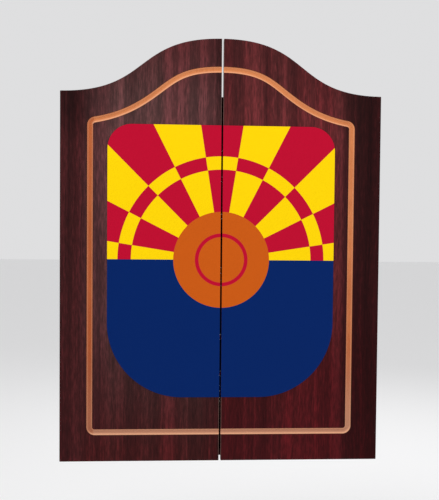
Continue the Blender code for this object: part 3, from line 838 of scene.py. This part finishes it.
def leafOutline(pin, leafEnd, side, facing):  # plan of a leaf rolled round the pin
    s = hingeSettings
    outer = s["knuckleRadius"]
    inner = outer - s["leafThickness"]
    turn = math.radians(s["turnDegrees"])
    width = abs(pin.x - leafEnd)
    angles = [math.pi / 2 - turn * step / s["turnSteps"] for step in range(s["turnSteps"] + 1)]
    points = [(-width, outer)]
    for radius, sweep in ((outer, angles), (inner, reversed(angles))):
        points += [(radius * math.cos(angle), radius * math.sin(angle)) for angle in sweep]
    points.append((-width, inner))
    return [(pin.x + side * x, pin.y + facing * y) for x, y in points]


def makeLeaf(node, screwNodes, pin, side, facing, firstGap):
    s = hingeSettings
    low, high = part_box(node)
    leafEnd = low.x if side > 0 else high.x
    outline = leafOutline(pin, leafEnd, side, facing)
    leaf = addOutline(node + "_rolled", [outline], low.z, high.z, upright=False)
    tall = (high.z - low.z) / s["knuckles"]
    reach = s["knuckleRadius"] + 2 * s["gap"]
    for index in range(firstGap, s["knuckles"], 2):  # notches for the other leaf's knuckles
        corners = []
        for way, step in ((-1, index), (1, index + 1)):
            clear = s["gap"] / 2 if 0 < step < s["knuckles"] else s["endClear"]
            corners.append((pin.x + way * reach, pin.y + way * reach, low.z + step * tall + way * clear))
        cutAway(leaf, addBlock("notch", *corners))
    for screwNode in screwNodes:
        middle = boxAndMiddle(screwNode)[2]
        cutAway(leaf, addDisc("hole", s["screwHole"], middle.x, middle.z, pin.y - 2 * reach,
                              pin.y + 2 * reach, 32))
    easeEdges(leaf, s["easing"])
    cleanUp(leaf)
    return leaf


def makePin(node):
    s = hingeSettings
    low, high, middle = boxAndMiddle(node)
    headRadius, headHeight = s["pinHead"]
    foot, neck, top = (Vector((middle.x, middle.y, z)) for z in (low.z, high.z - headHeight, high.z))
    radius = s["knuckleRadius"] - s["leafThickness"] - s["gap"]
    pin = addRod(node + "_headed", headRadius, neck, top)
    easeEdges(pin, s["headRound"], 3)
    shaft = addRod("shaft", radius, foot, neck + Vector((0, 0, 0.0002)))
    easeEdges(shaft, s["shaftRound"])
    cutAway(pin, shaft, "UNION")
    dress(pin, brass, "brassed_steel", "root", node)


def makeHinge(word, side, level):
    stem = word + "_" + level + "_hinge_"
    pin = boxAndMiddle(stem + "pin")[2]
    makePin(stem + "pin")
    leaves = {"frame": (1, 1, "root"), "door": (-1, 0, word + "_door_body")}
    for part, (facing, firstGap, body) in leaves.items():
        screwNodes = [stem + part + "_screw_" + str(number) for number in (1, 2)]
        leaf = makeLeaf(stem + part + "_leaf", screwNodes, pin, side, facing, firstGap)
        dress(leaf, brass, "brassed_steel", body, stem + part + "_leaf", smoothing=30)
        for screwNode in screwNodes:
            low, high, middle = boxAndMiddle(screwNode)
            headY = low.y if facing > 0 else high.y
            addScrew(screwNode + "_cross_head", part, (middle.x, headY, middle.z), (0, -facing, 0),
                     "brassed_steel", body, screwNode)


for word, side in sideSigns.items():
    for level in ("upper", "lower"):
        makeHinge(word, side, level)
print("stage: hinges")


# Case panels and hanging rails

caseSettings = {
    "easing": 0.0006,
    "panels": {
        uprightWood: ("left_side", "right_side", "back_panel"),
        crossWood: ("top_panel", "bottom_panel", "upper_hanging_rail", "lower_hanging_rail"),
    },
}


def makeCase():
    s = caseSettings
    for finish, nodes in s["panels"].items():
        for node in nodes:
            panel = copyNode(node, node + "_eased")
            dress(panel, finish, "stained_wood", "root", node, easing=s["easing"], degrees=60)


makeCase()
print("stage: case")


# Steel fittings: keyhole plates, hanging bracket, strike plates

fittingSettings = {
    "easing": 0.00025,
    "plateScrews": (0.013, -0.0222),
    "bracketScrews": (0.0325, 0.012),
    "footThickness": 0.0015,
    "sinkDepth": 0.0013,
    "sinkClear": 0.00025,
    "boreClear": 0.0001,
    "screwSunk": 0.0001,
}


def sinkHole(piece, at):  # a countersunk screw hole from the rear face
    s = fittingSettings
    shank = screwSettings["shankRadius"]
    x, y, z = at
    cutAway(piece, addRod("sink", shank, (x, y - s["sinkDepth"], z), (x, y + 0.00005, z),
                          endRadius=screwSettings["headRadius"] + s["sinkClear"]))
    cutAway(piece, addDisc("bore", shank + s["boreClear"], x, z, y - 0.01, y + 0.01, 24))


def drillPlate(plate, node, body, holes):  # holes by the names of their screws
    s = fittingSettings
    for hole in holes.values():
        sinkHole(plate, hole)
    dress(plate, zincSteel, "zinc_steel", body, node, easing=s["easing"])
    for name, (x, y, z) in holes.items():
        addScrew(name, "sunk", (x, y - s["screwSunk"], z), (0, 1, 0), body=body)


def makeKeyholePlate(word):
    node = word + "_keyhole_plate"
    high, middle = boxAndMiddle(node)[1:]
    holes = {}
    for number, height in enumerate(fittingSettings["plateScrews"], 1):
        holes[node + "_screw_" + str(number)] = (middle.x, high.y, height)
    drillPlate(copyNode(node, node + "_eased"), node, "root", holes)


def makeStrike(word):
    node = word + "_strike_plate"
    low, high, middle = boxAndMiddle(node)
    strike = addBlock(node + "_eased", low, high)
    drillPlate(strike, node, word + "_door_body",
               {word + "_strike_screw": (middle.x, high.y, middle.z)})


def makeBracket():
    s = fittingSettings
    spreadX, spreadZ = s["bracketScrews"]
    high, middle = boxAndMiddle("hanging_bracket")[1:]
    bracket = copyNode("hanging_bracket", "hanging_bracket_eased")
    dress(bracket, zincSteel, "zinc_steel", "root", "hanging_bracket", easing=s["easing"])
    headTop = high.y - s["footThickness"] - screwSettings["domeHeight"]
    corners = [(x * spreadX, z * spreadZ) for x in (-1, 1) for z in (-1, 1)]
    for number, (x, z) in enumerate(corners, 1):
        addScrew("bracket_screw_" + str(number), "bracket", (x, headTop, middle.z + z), (0, -1, 0))


catchSettings = {
    "poleReach": 0.0005,
    "mouth": (0.0035, 0.012, 0.0022),  # in from the sides, deep, in from top and bottom
    "bore": (0.0027, 0.0016),  # radius, depth
    "boresAt": (0.0055, 0.004),  # behind the middle, ahead of the rear
    "screwDepth": 0.0006,
    "pole": (0.004, 0.0015, 0.0115, 0.0025),  # in from the side, thickness, depth, margin
    "magnet": (0.0056, 0.0012, 0.011, 0.0029),  # in from the sides, front, rear, margin
    "easings": (0.0006, 0.0002, 0.0003),
}


def makeCatch(word):
    s = catchSettings
    low, high, middle = boxAndMiddle(word + "_magnet_catch")

    def inset(name, west, east, front, rear, margin):  # a block inside the catch's own box
        return addBlock(name, (west, low.y + front, low.z + margin), (east, low.y + rear, high.z - margin))

    caseEasing, poleEasing, magnetEasing = s["easings"]
    case = inset(word + "_catch_case", low.x, high.x, s["poleReach"], high.y - low.y, 0)
    wall, deep, margin = s["mouth"]
    cutAway(case, inset("mouth", low.x + wall, high.x - wall, -0.001, deep, margin))
    radius, depth = s["bore"]
    behind, ahead = s["boresAt"]
    bores = [middle.y + behind, high.y - ahead]
    for y in bores:
        cutAway(case, addRod("bore", radius, (middle.x, y, low.z - 0.001), (middle.x, y, low.z + depth)))
    dress(case, blackPlastic, "catch_plastic", "root", word + "_magnet_catch", easing=caseEasing,
          segments=3)
    for number, y in enumerate(bores, 1):
        at = (middle.x, y, low.z + s["screwDepth"])
        addScrew(word + "_catch_screw_" + str(number), "small", at, (0, 0, -1))
    side, thickness, depth, margin = s["pole"]
    edges = (low.x + side, high.x - side - thickness)
    poles = [inset("pole", edge, edge + thickness, 0, depth, margin) for edge in edges]
    poles = joinAll(word + "_catch_pole_plates", poles)
    dress(poles, zincSteel, "zinc_steel", "root", easing=poleEasing)
    side, front, rear, margin = s["magnet"]
    magnet = inset(word + "_catch_magnet", low.x + side, high.x - side, front, rear, margin)
    dress(magnet, magnetFerrite, "zinc_steel", "root", easing=magnetEasing)


makeBracket()
for word in sideSigns:
    makeKeyholePlate(word)
    makeCatch(word)
    makeStrike(word)
print("stage: fittings")


# Dart racks and score panels on the backs of the doors

rackSettings = {
    "holes": 3,
    "holeSpacing": 0.045,
    "holeRadius": 0.0045,
    "easing": 0.0012,
    "lip": (0.0012, 0.0006),  # below the top and wider, above the top and narrower
    "screwSpread": 0.0325,
    "screwProud": 0.0004,
}


def makeRack(word):
    s = rackSettings
    node = word + "_dart_rack"
    low, high, middle = boxAndMiddle(node)
    rack = addBlock(word + "_drilled_dart_rack", low, high)
    easeEdges(rack, s["easing"], 3)
    radius = s["holeRadius"]
    deep, proud = s["lip"]
    for index in range(s["holes"]):
        x = middle.x + (index - (s["holes"] - 1) / 2) * s["holeSpacing"]
        levels = [low.z - 0.01, high.z + 0.01, high.z - deep, high.z + proud]
        bottom, top, lipLow, lipHigh = ((x, middle.y, z) for z in levels)
        cutAway(rack, addRod("hole", radius, bottom, top, 40))
        cutAway(rack, addRod("lip", radius - proud, lipLow, lipHigh, 40, radius + deep))
    body = word + "_door_body"
    dress(rack, crossWood, "stained_wood", body, node, smoothing=30)
    for number, side in enumerate((-1, 1), 1):
        at = (middle.x + side * s["screwSpread"], high.y + s["screwProud"], middle.z)
        addScrew(word + "_rack_screw_" + str(number), "small", at, (0, 1, 0), body=body)


slateSettings = {
    "board": (0.0085, 0.0095, 0.009),
    "chalk": (0.3, 0.31, 0.3),
    "border": 0.01,
    "lineWidth": 0.0012,
    "paintDepth": 0.00012,
    "numbers": ("20", "19", "18", "17", "16", "15"),
    "digitHeight": 0.026,
    "columns": 0.03,
    "bullRings": (0.011, 0.004),
    "easing": 0.0006,
}


def slateFinish():
    s = slateSettings
    coords = newFinish("slate_paint")
    wiped = noise(stretched(coords, (14, 14, 5), (0, 0.5, 0)), 1.0, 4, 0.6)
    smears = noise(stretched(coords, (90, 90, 18), (0, 0.9, 0)), 1.0, 3, 0.6)
    tooth = noise(coords, 1800, 2, 0.6)
    dust = times(mask(wiped, (0.42, 0), (0.72, 0.32)), mask(smears, (0.3, 0.3), (0.7, 1)))
    tint = blended(dust, s["board"], s["chalk"])
    return finished(tint, 0.78, 0.2, bump=(tooth, 0.25, 0.0001))


def chalkFinish():
    coords = newFinish("white_line_paint")
    grain = noise(coords, 1500, 3, 0.65)
    tint = ramp(grain, [(0.35, grey(0.38)), (0.62, grey(0.74))])
    return finished(tint, 0.8, 0.15, bump=(grain, 0.2, 0.0001))


slate = slateFinish()
linePaint = chalkFinish()


def addDigits(text, x, y, z):  # upright digits that read from behind the door
    piece = added(bpy.ops.object.text_add, "digits")
    setAll(piece.data, body=text, align_x="CENTER", align_y="CENTER", size=slateSettings["digitHeight"],
           extrude=slateSettings["paintDepth"] / 2)
    setAll(piece, rotation_euler=(math.pi / 2, 0, math.pi), location=(x, y, z))
    toMesh(piece)
    return piece


def cornersOf(west, east, low, high):
    return [(west, low), (east, low), (east, high), (west, high)]


def makeScorePanel(word):
    s = slateSettings
    low, high, middle = boxAndMiddle(word + "_score_panel")
    body = word + "_door_body"
    panel = addBlock(word + "_slate_score_panel", low, high)
    dress(panel, slate, "slate", body, word + "_score_panel", easing=s["easing"])
    rear = high.y
    front = high.y + s["paintDepth"]
    half = s["lineWidth"] / 2
    left, right = low.x + s["border"], high.x - s["border"]
    bottom, top = low.z + s["border"], high.z - s["border"]
    rows = len(s["numbers"]) + 1
    rowHeight = (top - bottom) / rows
    columns = [left, middle.x - s["columns"], middle.x + s["columns"], right]
    levels = [top - row * rowHeight for row in range(rows + 1)]
    loops = [cornersOf(left - half, right + half, bottom - half, top + half)]
    for west, east in zip(columns, columns[1:]):
        for over, under in zip(levels, levels[1:]):
            loops.append(cornersOf(west + half, east - half, under + half, over - half))
    lines = [addOutline("grid", loops, rear, front)]
    for row, number in enumerate(s["numbers"]):
        level = top - (row + 0.5) * rowHeight
        lines.append(addDigits(number, middle.x, (rear + front) / 2, level))
    bullZ = bottom + rowHeight / 2
    for radius in s["bullRings"]:
        ring = addDisc("ring", radius, middle.x, bullZ, rear, front, 48)
        inner = radius - s["lineWidth"]
        cutAway(ring, addDisc("inside", inner, middle.x, bullZ, rear - 0.001, front + 0.001, 48))
        lines.append(ring)
    prints = joinAll(word + "_score_lines", lines)
    dress(prints, linePaint, "slate", body, smoothing=30)


for word in sideSigns:
    makeRack(word)
    makeScorePanel(word)
print("stage: racks and score panels")


# Dart board

boardSettings = {
    "rings": (0.17, 0.162, 0.107, 0.099, 0.0159, 0.00635),
    "sectors": 20,
    "spokes": 160,
    "wireRadius": 0.0007,
    "numberWire": 0.0008,
    "digitSize": (0.0118, 0.0225),
    "digitCentre": 0.1975,
    "bend": 0.0016,
    "easings": {"backer": 0.0008, "band": 0.0002, "pad": 0.0012, "screw": 0.0002},
    "bandGap": 0.0003,
    "order": (20, 1, 18, 4, 13, 6, 10, 15, 2, 17, 3, 19, 7, 16, 8, 11, 14, 9, 12, 5),
}
boardLow, boardHigh, boardMiddle = boxAndMiddle("sisal_face")
boardZ = boardMiddle.z
boardFace = boardLow.y


def sisalFinish(name, colour, pale):
    coords = newFinish(name)
    ends, tone = cells(coords, 1500)
    clumps = noise(coords, 120, 4, 0.6)
    fibre = addNode("SeparateColor", {"Color": tone}).outputs[0]
    spread = weighted((fibre, 0.45), (clumps, 0.55))
    tint = ramp(spread, [(0.28, tuple(0.55 * part for part in colour)), (0.5, colour), (0.78, pale)])
    # painted shade: the sunken pits darkened
    pits = mask(cells(coords, 260)[0], (0.05, 1), (0.14, 0))
    tint = blended(times(pits, 0.6), tint, grey(0.01))
    height = weighted((ends, 0.6), (clumps, 0.4), (pits, -0.8))
    return finished(tint, 0.92, 0.12, bump=(height, 0.5, 0.0003))


sisalPaints = [
    sisalFinish("black_sisal", (0.014, 0.014, 0.015), (0.045, 0.043, 0.04)),
    sisalFinish("cream_sisal", (0.58, 0.47, 0.29), (0.72, 0.62, 0.44)),
    sisalFinish("red_sisal", (0.36, 0.018, 0.014), (0.5, 0.06, 0.045)),
    sisalFinish("green_sisal", (0.012, 0.135, 0.045), (0.04, 0.24, 0.1)),
]


def sisalPaint(across, up):  # which paint is at a spot, measured from the bull
    s = boardSettings
    radius = math.hypot(across, up)
    double, doubleInner, treble, trebleInner, bull, bullEye = s["rings"]
    if radius > double:
        return 0
    if radius < bull:
        return 2 if radius < bullEye else 3
    odd = math.floor(math.atan2(across, up) / math.tau * s["sectors"] + 0.5) % 2
    scoring = radius > doubleInner or trebleInner < radius < treble
    return 2 + odd if scoring else odd


def makeSisalFace():
    s = boardSettings
    face = addDial("painted_sisal_face", boardHigh.x, s["rings"], s["spokes"], boardFace, boardZ)
    paintDial(face, sisalPaints, sisalPaint, boardHigh.y - boardFace, boardZ)
    smooth(face)
    place(face, "sisal", "board_body", "sisal_face")


def makeSpider():
    s = boardSettings
    y = boxAndMiddle("wire_spider")[2].y
    lines = []
    for radius in s["rings"]:
        turns = 96 if radius > 0.05 else 40
        lines.append(([polar(radius, step / turns, y, boardZ) for step in range(turns)], True))
    for sector in range(s["sectors"]):
        turn = (sector + 0.5) / s["sectors"]
        ends = (s["rings"][4], s["rings"][0])
        lines.append(([polar(radius, turn, y, boardZ) for radius in ends], False))
    spider = addTubes("round_wire_spider", lines, s["wireRadius"], 2)
    dress(spider, wireSteel, "wire", "board_body", "wire_spider", smoothing=50)


def arc(x, y, wide, tall, fromTurn, toTurn, steps=14):  # turns count clockwise from the top
    points = []
    for step in range(steps + 1):
        angle = (fromTurn + (toTurn - fromTurn) * step / steps) * math.tau
        points.append((x + wide * math.sin(angle), y + tall * math.cos(angle)))
    return points


# Each digit's wires in a unit box
digitWires = {
    "0": [arc(0.5, 0.5, 0.4, 0.5, 0, 1, 24)],
    "1": [[(0.25, 0.78), (0.52, 1.0), (0.52, 0.0)]],
    "2": [arc(0.5, 0.73, 0.36, 0.27, -0.22, 0.36) + [(0.1, 0.0), (0.92, 0.0)]],
    "3": [arc(0.46, 0.76, 0.34, 0.24, -0.2, 0.45), arc(0.46, 0.27, 0.4, 0.27, 0.05, 0.7)],
    "4": [[(0.72, 0.0), (0.72, 1.0), (0.06, 0.3), (0.96, 0.3)]],
    "5": [[(0.84, 1.0), (0.24, 1.0), (0.18, 0.56)] + arc(0.47, 0.33, 0.41, 0.33, -0.08, 0.68)],
    "6": [[(0.78, 0.99), (0.36, 0.78)] + arc(0.5, 0.32, 0.39, 0.32, -0.2, -1.2, 22)],
    "7": [[(0.1, 1.0), (0.88, 1.0), (0.38, 0.0)]],
    "8": [arc(0.5, 0.76, 0.31, 0.24, 0.5, 1.5, 20) + arc(0.5, 0.26, 0.39, 0.26, 1, 0, 22)],
    "9": [[(0.22, 0.01), (0.64, 0.22)] + arc(0.5, 0.68, 0.39, 0.32, 0.3, -0.7, 22)],
}


def bentWire(points, radius):  # wire corners are bent, never folded
    pairs = zip(points, points[1:])
    points = [points[0]] + [spot for last, spot in pairs if (Vector(spot) - Vector(last)).length > 0.0001]
    bent = [points[0]]
    for before, corner, after in zip(points, points[1:], points[2:]):
        back = Vector(before) - Vector(corner)
        onward = Vector(after) - Vector(corner)
        opening = back.angle(onward)
        if opening < math.radians(140):
            room = 0.4 * min(back.length, onward.length) * math.tan(opening / 2)
            bent += roundCorner(before, corner, after, min(radius, room), 6)
        else:
            bent.append(corner)
    return bent + [points[-1]]


def numberLines(text, turn, y):
    s = boardSettings
    wide, tall = s["digitSize"]
    angle = turn * math.tau
    upright = -1 if math.cos(angle) < -0.1 else 1  # the lower numbers are turned to read upright
    lines = []
    for index, digit in enumerate(text):
        shift = (index - (len(text) - 1) / 2) * wide * 1.3
        for stroke in digitWires[digit]:
            points = [(shift + (x - 0.5) * wide, (z - 0.5) * tall) for x, z in stroke]
            line = []
            for across, up in bentWire(points, s["bend"]):
                outward = s["digitCentre"] + upright * up
                sideways = upright * across
                x = outward * math.sin(angle) + sideways * math.cos(angle)
                z = outward * math.cos(angle) - sideways * math.sin(angle)
                line.append((x, y, boardZ + z))
            lines.append((line, False))
    return lines


def makeNumberRing():
    s = boardSettings
    low, high, middle = boxAndMiddle("number_ring")
    wire = (high.y - low.y) / 2
    hoop = [polar(high.x - wire, step / 160, middle.y, boardZ) for step in range(160)]
    ring = addTubes("hoop", [(hoop, True)], wire, 3)
    lines = []
    for index, number in enumerate(s["order"]):
        lines += numberLines(str(number), index / s["sectors"], middle.y)
    numerals = addTubes("numerals", lines, s["numberWire"], 2)
    ring = joinAll("wire_number_ring", [ring, numerals])
    dress(ring, wireSteel, "wire", "board_body", "number_ring", smoothing=50)


def chipboardFinish():
    coords = newFinish("pressed_chips")
    flakes, tone = cells(stretched(coords, (260, 120, 420), (0.2, 0.3, 0.5)), 1.0)
    fine = noise(coords, 700, 3, 0.6)
    shade = addNode("SeparateColor", {"Color": tone}).outputs[0]
    tint = ramp(weighted((shade, 0.7), (fine, 0.3)),
                [(0.2, (0.2, 0.115, 0.055)), (0.5, (0.36, 0.235, 0.125)), (0.8, (0.52, 0.38, 0.23))])
    height = weighted((flakes, 0.6), (fine, 0.4))
    return finished(tint, 0.85, 0.2, bump=(height, 0.4, 0.0003))


def makeBoardBack():
    s = boardSettings
    body = "board_body"
    easings = s["easings"]
    low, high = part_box("board_backer")
    radius = high.x
    backer = addDisc("pressed_board_backer", radius, 0, boardZ, low.y, high.y)
    dress(backer, chipboardFinish(), "chipboard", body, "board_backer", easing=easings["backer"])
    low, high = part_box("board_band")
    band = addDisc("rolled_board_band", high.x, 0, boardZ, low.y, high.y)
    cutAway(band, addDisc("inside", radius + s["bandGap"], 0, boardZ, low.y - 0.01, high.y + 0.01))
    dress(band, blackPaint, "black_steel", body, "board_band", easing=easings["band"])
    for number in (1, 2, 3):
        node = "board_pad_" + str(number)
        low, high, middle = boxAndMiddle(node)
        pad = addDisc(node + "_domed", (high.x - low.x) / 2, middle.x, middle.z, low.y, high.y, 48)
        dress(pad, blackRubber, "rubber", body, node, easing=easings["pad"], segments=3)
    screw = copyNode("centre_screw", "centre_screw_eased")
    dress(screw, zincSteel, "zinc_steel", body, "centre_screw", easing=easings["screw"], degrees=60)


makeSisalFace()
makeSpider()
makeNumberRing()
makeBoardBack()
for model in screwModels.values():
    bpy.data.objects.remove(model)
print("stage: dart board")


# Studio: pale floor, soft light and the camera

studio = {
    "floorDrop": 0.35,
    "floorColour": (0.9, 0.9, 0.9, 1),
    "backdrop": (0.92, 0.92, 0.93, 1),
    "backdropStrength": 0.8,
    "lights": {  # size, power, location, target
        "key_light": ((1.2, 0.8), 20, (-0.7, -1.5, 1.7), (0, -0.1, -0.2)),
        "fill_light": ((1.4, 1.4), 7, (1.6, -1.8, 0.3), (0, -0.1, -0.25)),
        "back_light": ((1.4, 1.0), 14, (0.8, 1.9, 1.2), (0, 0, -0.2)),
    },
    "lens": 73.8,
    "shift": (-0.0342, 0.0342),
    "cameraAt": (-0.0847, -1.5983, -0.1853),
    "turns": (("Z", -4.086), ("X", -2.219), ("Y", -0.539), ("X", 90)),
}


def makeFloor():
    level = doorFoot - studio["floorDrop"]
    floor = added(bpy.ops.mesh.primitive_plane_add, "studio_floor", size=40, location=(0, 0, level))
    newFinish("floor_paint")
    floor.data.materials.append(finished(studio["floorColour"], 0.9, 0.1))


def addSoftbox(name, size, power, location, target):
    lamp = added(bpy.ops.object.light_add, name, type="AREA", location=location)
    wide, tall = size
    setAll(lamp.data, shape="RECTANGLE", size=wide, size_y=tall, energy=power)
    lamp.rotation_euler = (Vector(target) - Vector(location)).to_track_quat("-Z", "Y").to_euler()


def makeCamera():
    camera = added(bpy.ops.object.camera_add, "studio_camera")
    placed = Matrix.Translation(studio["cameraAt"])
    for axis, degrees in studio["turns"]:
        placed = placed @ Matrix.Rotation(math.radians(degrees), 4, axis)
    camera.matrix_world = placed
    right, up = studio["shift"]
    setAll(camera.data, sensor_fit="HORIZONTAL", sensor_width=36, lens=studio["lens"],
           shift_x=right, shift_y=up)
    bpy.context.scene.camera = camera


def makeStudio():
    makeFloor()
    world = bpy.data.worlds.new("studio_world")
    bpy.context.scene.world = world
    world.use_nodes = True
    inputs = world.node_tree.nodes["Background"].inputs
    setSocket(inputs["Color"], studio["backdrop"])
    setSocket(inputs["Strength"], studio["backdropStrength"])
    for name, settings in studio["lights"].items():
        addSoftbox(name, *settings)
    makeCamera()
    bpy.context.scene.view_settings.view_transform = "Standard"


makeStudio()
print("stage: studio")
